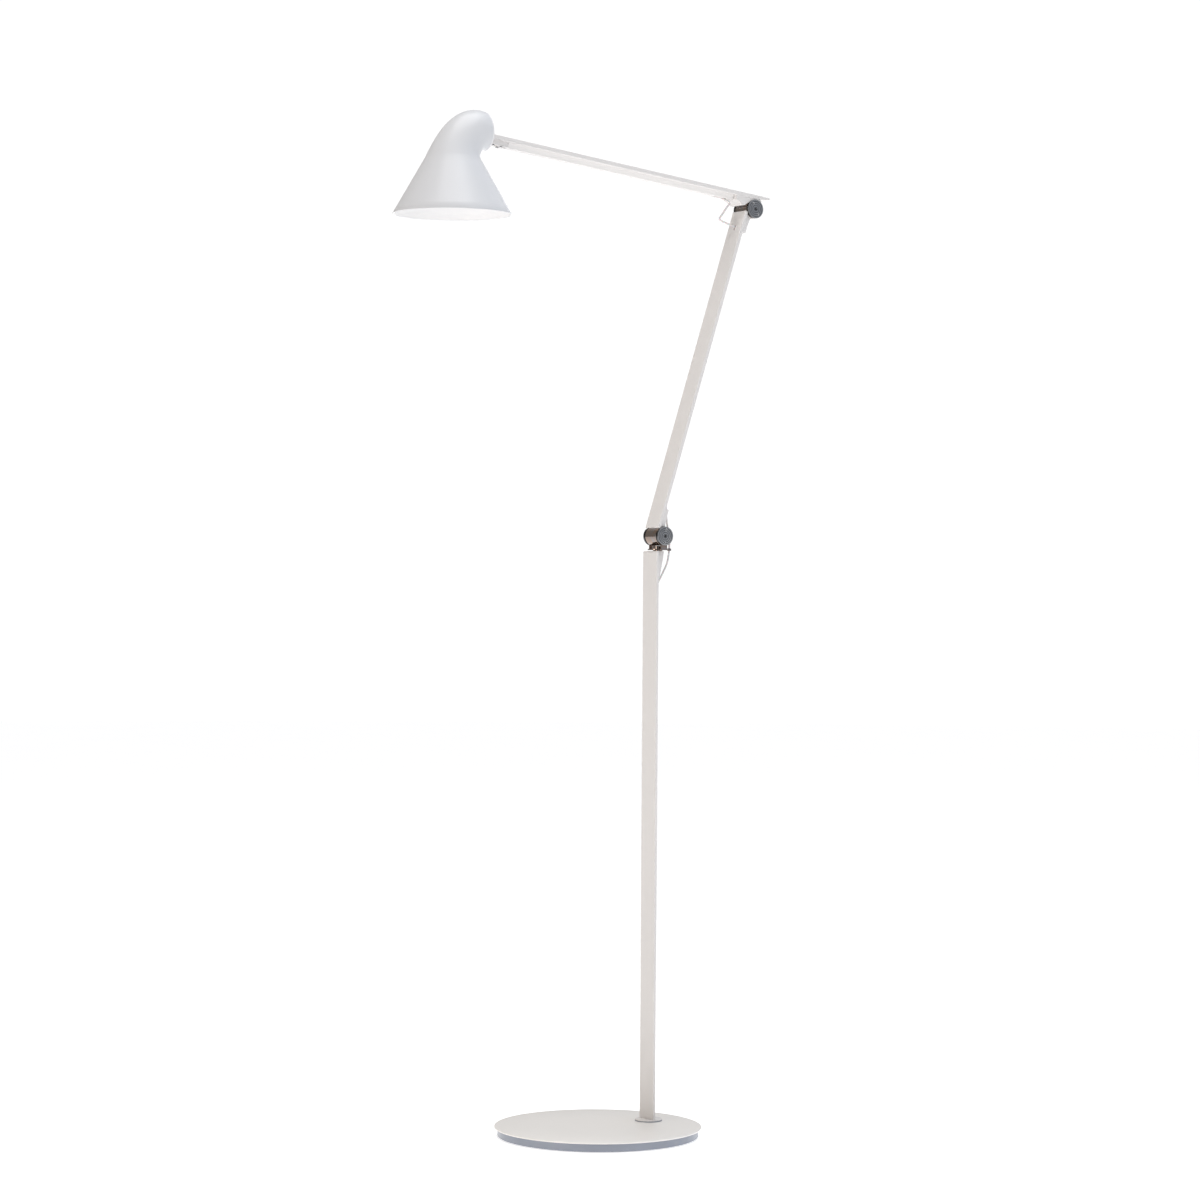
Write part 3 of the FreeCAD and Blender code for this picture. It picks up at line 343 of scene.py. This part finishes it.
def turned_shape(name, profile, origin, axis, node, segments=96, crease=30.0):
    """A closed (radius, height) outline turned about an axis."""
    across = axis.orthogonal().normalized()
    beside = axis.cross(across)
    shape = bmesh.new()
    loops = []
    for k in range(segments):
        a = 2 * math.pi * k / segments
        out = math.cos(a) * across + math.sin(a) * beside
        loops.append([shape.verts.new(origin + out * r + axis * h) for r, h in profile])
    for one, two in zip(loops, loops[1:] + loops[:1]):
        for i in range(len(profile)):
            j = (i + 1) % len(profile)
            shape.faces.new((one[i], two[i], two[j], one[j]))
    bmesh.ops.remove_doubles(shape, verts=shape.verts, dist=1e-7)
    bmesh.ops.recalc_face_normals(shape, faces=shape.faces)
    mesh = bpy.data.meshes.new(name)
    shape.to_mesh(mesh)
    shape.free()
    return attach(piece(name, mesh, node, crease=crease), BODY_OF[node])


def rounded_corner(centre, radius, start, end, steps=5):
    """Points of a corner arc in a (radius, height) outline, angles in degrees."""
    return [(centre[0] + radius * math.cos(math.radians(start + (end - start) * k / steps)),
             centre[1] + radius * math.sin(math.radians(start + (end - start) * k / steps)))
            for k in range(steps + 1)]


# ---- cables --------------------------------------------------------------------------

CABLE_D = 2.4 * MM


def arm_point(x, s, lean, origin):
    """A place on an arm: x ahead of the hinge line, s along the arm, in millimetres."""
    along = Matrix.Rotation(lean, 3, "Y")
    return origin + along @ Vector((x * MM, 0, s * MM))


def onward(before, at, distance):
    return at + (at - before).normalized() * distance * MM


def spline(route):
    """The smooth line of a route, read from its NURBS spline."""
    curve = bpy.data.curves.new("route", "CURVE")
    curve.dimensions = "3D"
    curve.resolution_u = 20
    line = curve.splines.new("NURBS")
    line.points.add(len(route) - 1)
    for point, place in zip(line.points, route):
        point.co = (*place, 1.0)
    line.order_u = 3
    line.use_endpoint_u = True
    holder = bpy.data.objects.new("route", curve)
    bpy.context.scene.collection.objects.link(holder)
    mesh = bpy.data.meshes.new_from_object(holder)
    points = [vertex.co.copy() for vertex in mesh.vertices]
    bpy.data.objects.remove(holder)
    bpy.data.curves.remove(curve)
    bpy.data.meshes.remove(mesh)
    return points


def cable(node, route, sides=16):
    """A round tube along a route in the XZ plane, standing for the CAD node."""
    points = spline(route)
    shape = bmesh.new()
    rings = []
    for k, at in enumerate(points):
        ahead = (points[min(k + 1, len(points) - 1)] - points[max(k - 1, 0)]).normalized()
        side = ahead.cross(Y)
        turns = [2 * math.pi * i / sides for i in range(sides)]
        rings.append([shape.verts.new(at + (math.cos(a) * Y + math.sin(a) * side) * CABLE_D / 2)
                      for a in turns])
    for one, two in zip(rings, rings[1:]):
        for i in range(sides):
            j = (i + 1) % sides
            shape.faces.new((one[i], one[j], two[j], two[i]))
    shape.faces.new(rings[0])
    shape.faces.new(rings[-1])
    bmesh.ops.recalc_face_normals(shape, faces=shape.faces)
    mesh = bpy.data.meshes.new(node + "_tube")
    shape.to_mesh(mesh)
    shape.free()
    return piece(node + "_tube", mesh, node), points


def loop_cable(node, route):
    """An exposed loop that bends from one body (at the route's start) to the next."""
    obj, points = cable(node, route)
    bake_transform(obj)


LOWER_CABLE = -12.9 + 4.3 + 6.0 - 1.1 - 1.2 - 0.6
UPPER_CABLE = 18.3 - 5.0 - 6.0 + 1.1 + 1.2 + 0.6
SLOT = ARM_L / MM - 28.0
POST_CABLE = 73.0 + 3.5 + 6.0 - 1.1 - 1.2 - 0.6
ROUTE_LOWER = [arm_point(x, s, LOWER_LEAN, SHOULDER) for x, s in (
    (-12.9, SLOT), (LOWER_CABLE, SLOT + 0.5), (LOWER_CABLE, 62.0), (LOWER_CABLE + 2.2, 48.0),
    (LOWER_CABLE + 5.6, 38.0))]
ROUTE_UPPER = [arm_point(x, s, UPPER_LEAN, ELBOW) for x, s in (
    (UPPER_CABLE - 1.8, 49.0), (UPPER_CABLE, 56.6), (UPPER_CABLE, 396.0), (UPPER_CABLE - 2.6, 404.0))]
GUIDE = Vector((102.5, 0, 735.6)) * MM
ABOVE_GUIDE = Vector((103.7, 0, 750.5)) * MM
POST_ENTRY = Vector((85.0, 0, 692.5)) * MM
BEFORE_ENTRY = Vector((93.9, 0, 707.5)) * MM
# the elbow loop's two close corners, from the elbow's hinge line
ELBOW_BEND = [ELBOW + Vector(place) * MM for place in (
    (-46.7, 0, -15.0), (-42.1, 0, -9.5), (-33.4, 0, 2.2), (-28.3, 0, 7.3), (-35.4, 0, 10.3))]

loop_cable("elbow_cable", [
    ROUTE_LOWER[0], onward(ROUTE_LOWER[1], ROUTE_LOWER[0], 17.8),
    *ELBOW_BEND, ROUTE_UPPER[0]])
loop_cable("shoulder_cable_upper", [
    GUIDE, ABOVE_GUIDE, onward(ROUTE_LOWER[3], ROUTE_LOWER[4], 16.0), ROUTE_LOWER[4]])
loop_cable("shoulder_cable_lower", [
    POST_ENTRY, BEFORE_ENTRY, onward(ABOVE_GUIDE, GUIDE, 14.0), GUIDE])
HEAD_EXIT = ROUTE_UPPER[-1]
SINK_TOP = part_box("heat_sink")[1].z
loop_cable("head_cable", [
    HEAD_EXIT, onward(ROUTE_UPPER[-2], HEAD_EXIT, 11.0), PIVOT + Vector((-5.0, 0, -12.5)) * MM,
    Vector((PIVOT.x - 6.0 * MM, 0, SINK_TOP - 1.0 * MM))])

for held, route in (
        ("lower_arm_cable", ROUTE_LOWER),
        ("upper_arm_cable", ROUTE_UPPER),
        ("post_cable", [POST_ENTRY, onward(BEFORE_ENTRY, POST_ENTRY, 7.5)] + [
            Vector((POST_CABLE + x, 0, z)) * MM for x, z in (
                (0.0, 670.5), (0.0, 12.4), (0.6, 6.6), (4.5, 3.7), (14.0, 4.0),
                (118.0 - POST_CABLE, 4.0))])):
    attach(cable(held, route)[0], BODY_OF[held])

# ---- foot ----------------------------------------------------------------------------


def disc(name, node, top_round, bottom_round, dish=0.0):
    """A solid disc with rounded rims, as wide and thick as its CAD node."""
    low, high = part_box(node)
    radius = (high.x - low.x) / 2
    centre = Vector(((high.x + low.x) / 2, (high.y + low.y) / 2, low.z))
    tall = high.z - low.z
    outline = [(0.0, 0.0)]
    outline += rounded_corner((radius - bottom_round, bottom_round), bottom_round, -90, 0)
    outline += rounded_corner((radius - top_round, tall - top_round), top_round, 0, 90)
    outline += [(radius * 0.5, tall - dish), (0.0, tall - dish)]
    return turned_shape(name, outline, centre, Z, node, 192)


disc("base_side_disc", "base_weight", 0.3 * MM, 0.8 * MM)
disc("base_top_disc", "base_top_plate", 0.8 * MM, 0.5 * MM)
disc("foot_felt", "foot_pad", 0.2 * MM, 0.4 * MM)


def flange_shadow_step():
    """The flange's lower step in the base's slate coat; its dark band under the white rim is also painted shadow
    under the flange.
    """
    low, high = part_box("post_flange")
    radius = (high.x - low.x) / 2
    centre = Vector(((high.x + low.x) / 2, (high.y + low.y) / 2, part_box("base_top_plate")[1].z))
    outline = [(0.0, 0.05 * MM), (radius + 0.15 * MM, 0.05 * MM),
               (radius + 0.15 * MM, 1.1 * MM), (0.0, 1.1 * MM)]
    shadow_step = turned_shape("flange_shadow_step", outline, centre, Z, "post_flange", 96)
    # painted shadow: the step takes the base's dark slate coat to show the shade under the flange's rim
    shadow_step.data.materials[0] = MATERIALS["base_side"]


flange_shadow_step()

# ---- shade ---------------------------------------------------------------------------

SHADE_R = 73.3
SLOPE = 0.575
HOOD_Z = 68.6
HOOD_PIVOT = 11.6
HOOD_TURN = 86.0
HOOD_R = (24.8, 29.4, 24.0)
SHELL_T = 1.5
AROUND = 144
BUTTON_T = 0.62
BUTTON_HOLE_R = 4.7

SHADE = Vector((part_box("shade")[0].x + SHADE_R * MM, 0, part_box("shade")[0].z))


def hood_section(t):
    """Centre, radius and turn of the hood's round section, in millimetres."""
    r0 = SHADE_R - SLOPE * HOOD_Z
    r1, r2, r3 = HOOD_R
    a = 1 - t
    radius = r0 * a ** 3 + 3 * r1 * t * a * a + 3 * r2 * t * t * a + r3 * t ** 3
    turn = math.radians(HOOD_TURN * t)
    reach = HOOD_PIVOT + radius
    centre = Vector((r0 + HOOD_PIVOT - reach * math.cos(turn), 0, HOOD_Z + reach * math.sin(turn)))
    return centre, radius, turn


def shade_stations():
    """Sections round the whole wall: up the outside, over the rear rim, down the
    inside and round the lower rim."""
    half = SHELL_T / 2
    heights = [half + (HOOD_Z - half) * k / 8 for k in range(8)]
    hood = [hood_section(k / 28) for k in range(29)]
    outside = [(Vector((0, 0, z)), SHADE_R - SLOPE * z, 0.0) for z in heights]
    outside += hood
    inside = [(centre, radius - SHELL_T, turn) for centre, radius, turn in reversed(hood)]
    inside += [(Vector((0, 0, z)), SHADE_R - SLOPE * z - SHELL_T, 0.0) for z in reversed(heights)]
    middle = SHADE_R - SLOPE * half - half
    rim = []
    for k in range(1, 8):
        a = math.pi - math.pi * k / 8
        rim.append((Vector((0, 0, half - half * math.sin(a))), middle + half * math.cos(a), 0.0))
    return outside + inside + rim


def build_shade():
    shape = bmesh.new()
    loops = []
    for centre, radius, turn in shade_stations():
        tilt = Matrix.Rotation(turn, 3, "Y")
        loop = []
        for k in range(AROUND):
            a = 2 * math.pi * k / AROUND
            out = tilt @ Vector((radius * math.cos(a), radius * math.sin(a), 0))
            loop.append(shape.verts.new(SHADE + (centre + out) * MM))
        loops.append(loop)
    for one, two in zip(loops, loops[1:] + loops[:1]):
        for i in range(AROUND):
            j = (i + 1) % AROUND
            shape.faces.new((one[i], one[j], two[j], two[i]))
    bmesh.ops.recalc_face_normals(shape, faces=shape.faces)
    mesh = bpy.data.meshes.new("shade_shell")
    shape.to_mesh(mesh)
    shape.free()
    return piece("shade_shell", mesh, "shade", crease=50.0)


def pierce(obj, at, direction, radius, reach):
    """Cut a round hole with a finely divided drill, and keep only the result."""
    drill = bmesh.new()
    bmesh.ops.create_cone(drill, cap_ends=True, segments=48, radius1=radius, radius2=radius, depth=reach)
    turn = Z.rotation_difference(direction).to_matrix().to_4x4()
    bmesh.ops.transform(drill, matrix=Matrix.Translation(at) @ turn, verts=drill.verts)
    mesh = bpy.data.meshes.new("drill")
    drill.to_mesh(mesh)
    drill.free()
    cutter = bpy.data.objects.new("drill", mesh)
    bpy.context.scene.collection.objects.link(cutter)
    hole = obj.modifiers.new("hole", "BOOLEAN")
    hole.operation = "DIFFERENCE"
    hole.solver = "EXACT"
    hole.object = cutter
    bpy.context.view_layer.update()
    graph = bpy.context.evaluated_depsgraph_get()
    cut = bpy.data.meshes.new_from_object(obj.evaluated_get(graph))
    obj.modifiers.remove(hole)
    obj.data = cut
    bpy.data.objects.remove(cutter)


def finish_shade():
    shade = build_shade()
    centre, radius, turn = hood_section(BUTTON_T)
    at = SHADE + Vector((centre.x, 25.0, centre.z)) * MM
    pierce(shade, at, Y, BUTTON_HOLE_R * MM, 40.0 * MM)
    shade.data.set_sharp_from_angle(angle=math.radians(50.0))
    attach(shade, "head")


def rear_ring():
    """The lighter moulded ring in the hood's rear opening."""
    centre, radius, turn = hood_section(1.0)
    axis = Vector((math.sin(turn), 0, math.cos(turn)))
    inner, sleeve, lip = 20.4, HOOD_R[2] - SHELL_T - 0.1, HOOD_R[2] - 0.4
    outline = [(inner, -7.0), (sleeve, -7.0), (sleeve, 0.05), (lip, 0.05)]
    outline += rounded_corner((lip - 0.9, 1.35), 0.9, 0, 90)
    outline += rounded_corner((inner + 0.6, 1.65), 0.6, 90, 180)
    outline = [(r * MM, h * MM) for r, h in outline]
    turned_shape("rear_rim_ring", outline, SHADE + centre * MM, axis, "shade_rear_ring", 128)


def diffuser():
    """The opal disc, crowned a little inside its CAD thickness."""
    low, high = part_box("diffuser")
    radius = (high.x - low.x) / 2
    tall = high.z - low.z
    centre = Vector(((high.x + low.x) / 2, 0, low.z))
    outline = [(0.0, 0.0), (radius * 0.5, 0.1 * MM), (radius * 0.8, 0.35 * MM), (radius - 0.9 * MM, 0.6 * MM)]
    outline += rounded_corner((radius - 0.9 * MM, 1.5 * MM), 0.9 * MM, -75, 0)
    outline += [(radius, tall), (0.0, tall)]
    turned_shape("opal_disc", outline, centre, Z, "diffuser", 96, 40.0)


finish_shade()
rear_ring()
diffuser()

# ---- CAD shapes with their edges broken ----------------------------------------------

EDGES = {
    "post_bar": 0.3, "post_cable_cover": 0.12, "post_head_block": 0.4, "post_flange": 0.2,
    "post_head_screws": 0.15, "swivel_yoke": 0.2, "swivel_bolt": 0.2, "swivel_spacer": 0.15,
    "cable_guide": 0.3, "cable_gland": 0.25,
    "lower_arm_bar": 0.3, "lower_arm_cable_cover": 0.12, "shoulder_saddle": 0.35, "elbow_saddle": 0.35,
    "shoulder_barrel": 0.25, "elbow_barrel": 0.25, "shoulder_pin": 0.2, "elbow_pin": 0.2,
    "shoulder_cap_left": 0.4, "shoulder_cap_right": 0.4, "elbow_cap_left": 0.4, "elbow_cap_right": 0.4,
    "elbow_clamp_screw": 0.15,
    "upper_arm_bar": 0.3, "upper_arm_cable_cover": 0.12,
    "head_link": 0.4, "head_link_screws": 0.2, "head_bracket": 0.25, "head_pin": 0.2,
    "module_carrier": 0.3, "switch_body": 0.3, "switch_bracket": 0.2, "switch_button": 0.25,
}
for node, width in EDGES.items():
    refine(node, width * MM)

# ---- hinge caps: painted glints and socket shade -------------------------------------

SIDE_OF = {side: math.copysign(1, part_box("shoulder_cap_" + side)[0].y) for side in ("left", "right")}


def cap_glints_and_socket_shade(node, hinge, side, turn):
    """Painted highlights and shade on a hinge cap: bright aluminium chamfer rings round its two spanner holes
    paint their glints, and a black disc on its socket floor paints the shade there.
    """
    low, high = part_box(node)
    face = Vector((hinge.x, low.y if side < 0 else high.y, hinge.z))
    out = side * Y
    for k in (0, 1):
        a = math.radians(turn + 180 * k)
        at = face + Vector((math.cos(a), 0, math.sin(a))) * 8.2 * MM
        # painted highlight: the chamfer ring takes the brighter aluminium to show the holes' glints
        rim = [(0.80, -0.40), (1.15, -0.40), (1.60, 0.03), (1.45, 0.05)]
        glint_ring = turned_shape("%s_rim_%d" % (node, k), [(r * MM, h * MM) for r, h in rim], at, out, node, 32)
        glint_ring.data.materials[0] = MATERIALS["cast_aluminium"]
    # painted shade: a black disc on the socket's floor
    socket = [(0.0, -1.36), (2.45, -1.36), (2.45, -0.9), (0.0, -0.9)]
    base = turned_shape(node + "_socket", [(r * MM, h * MM) for r, h in socket], face, out, node, 32)
    base.data.materials[0] = MATERIALS["switch_black"]


for joint, hinge, turn in (("shoulder", SHOULDER, 82.0), ("elbow", ELBOW, 118.0)):
    cap_glints_and_socket_shade(joint + "_cap_left", hinge, SIDE_OF["left"], turn)
    cap_glints_and_socket_shade(joint + "_cap_right", hinge, SIDE_OF["right"], turn)

# ---- stage and light -----------------------------------------------------------------

RIGHT = Vector((math.cos(AZIMUTH), -math.sin(AZIMUTH), 0))
BACK = Vector((-math.sin(AZIMUTH), -math.cos(AZIMUTH), 0))


def floor():
    """A wide pale disc, a hair under the foot."""
    shape = bmesh.new()
    bmesh.ops.create_circle(shape, cap_ends=True, segments=128, radius=12.0)
    bmesh.ops.translate(shape, verts=shape.verts, vec=(0, 0, -0.0002))
    mesh = bpy.data.meshes.new("floor")
    shape.to_mesh(mesh)
    shape.free()
    ground = bpy.data.objects.new("floor", mesh)
    bpy.context.scene.collection.objects.link(ground)
    paint = Paint("floor_paint", (0.90, 0.90, 0.90), 0.9, Emission_Strength=0.62)
    paint.set("Emission Color", (1.0, 1.0, 1.0, 1.0))
    paint.mottle(paint.noise(3.0, 2.0), (0.89, 0.89, 0.89))
    mesh.materials.append(paint.material)


def sky():
    """A white tent: cooler and brighter on the camera's right, warmer on its left, and
    darker behind the camera.  The camera itself sees plain white."""
    world = bpy.data.worlds.new("tent")
    bpy.context.scene.world = world
    world.use_nodes = True
    tree = world.node_tree
    tree.nodes.clear()
    link = tree.links.new
    way = tree.nodes.new("ShaderNodeTexCoord").outputs["Generated"]

    def facing(direction, low, high, out_low, out_high):
        dot = tree.nodes.new("ShaderNodeVectorMath")
        dot.operation = "DOT_PRODUCT"
        dot.inputs[1].default_value = direction
        link(way, dot.inputs[0])
        ramp = tree.nodes.new("ShaderNodeMapRange")
        ramp.interpolation_type = "SMOOTHSTEP"
        for socket, number in (("From Min", low), ("From Max", high),
                               ("To Min", out_low), ("To Max", out_high)):
            ramp.inputs[socket].default_value = number
        link(dot.outputs["Value"], ramp.inputs["Value"])
        return ramp.outputs["Result"]

    def multiply(one, two):
        product = tree.nodes.new("ShaderNodeMath")
        product.operation = "MULTIPLY"
        link(one, product.inputs[0])
        link(two, product.inputs[1])
        return product.outputs[0]

    side = tree.nodes.new("ShaderNodeMix")
    side.data_type = "RGBA"
    colours = [s for s in side.inputs if s.type == "RGBA"]
    colours[0].default_value = (0.98, 0.93, 0.86, 1.0)
    colours[1].default_value = (0.94, 0.98, 1.06, 1.0)
    link(facing(RIGHT, -0.9, 0.9, 0.0, 1.0), side.inputs["Factor"])
    tint = next(o for o in side.outputs if o.type == "RGBA")
    strength = multiply(facing(RIGHT, -1.0, 1.0, 0.34, 0.60), facing(BACK, 0.3, 0.95, 1.0, 0.42))
    tent = tree.nodes.new("ShaderNodeBackground")
    link(tint, tent.inputs["Color"])
    link(strength, tent.inputs["Strength"])
    plain = tree.nodes.new("ShaderNodeBackground")
    plain.inputs["Color"].default_value = (1, 1, 1, 1)
    plain.inputs["Strength"].default_value = 1.05
    path = tree.nodes.new("ShaderNodeLightPath")
    mix = tree.nodes.new("ShaderNodeMixShader")
    link(path.outputs["Is Camera Ray"], mix.inputs["Fac"])
    link(tent.outputs[0], mix.inputs[1])
    link(plain.outputs[0], mix.inputs[2])
    link(mix.outputs[0], tree.nodes.new("ShaderNodeOutputWorld").inputs["Surface"])


def softbox(name, place, aim, wide, tall, watts, colour):
    data = bpy.data.lights.new(name, "AREA")
    data.shape = "RECTANGLE"
    data.size = wide
    data.size_y = tall
    data.energy = watts
    data.color = colour
    lamp = bpy.data.objects.new(name, data)
    bpy.context.scene.collection.objects.link(lamp)
    lamp.location = place
    lamp.rotation_mode = "QUATERNION"
    lamp.rotation_quaternion = (Vector(aim) - Vector(place)).to_track_quat("-Z", "Y")
    lamp.visible_camera = False


floor()
sky()
MIDDLE = Vector((0, 0, 0.75))
softbox("key", RIGHT * 1.6 + BACK * 2.2 + Z * 1.7, MIDDLE, 1.2, 1.8, 6.0, (0.93, 0.97, 1.0))
softbox("fill", -RIGHT * 2.0 + BACK * 1.9 + Z * 0.80, MIDDLE, 0.8, 1.3, 12.5, (1.0, 0.87, 0.76))
softbox("top", BACK * 0.3 + Z * 3.1, MIDDLE, 1.8, 1.8, 33.0, (1.0, 1.0, 1.0))

softbox("back", -BACK * 1.4 + Z * 1.2, Vector((0, 0, 0)), 1.0, 0.8, 5.0, (1.0, 0.98, 0.95))

bpy.context.scene.view_settings.view_transform = "Standard"
bpy.context.scene.view_settings.look = "None"
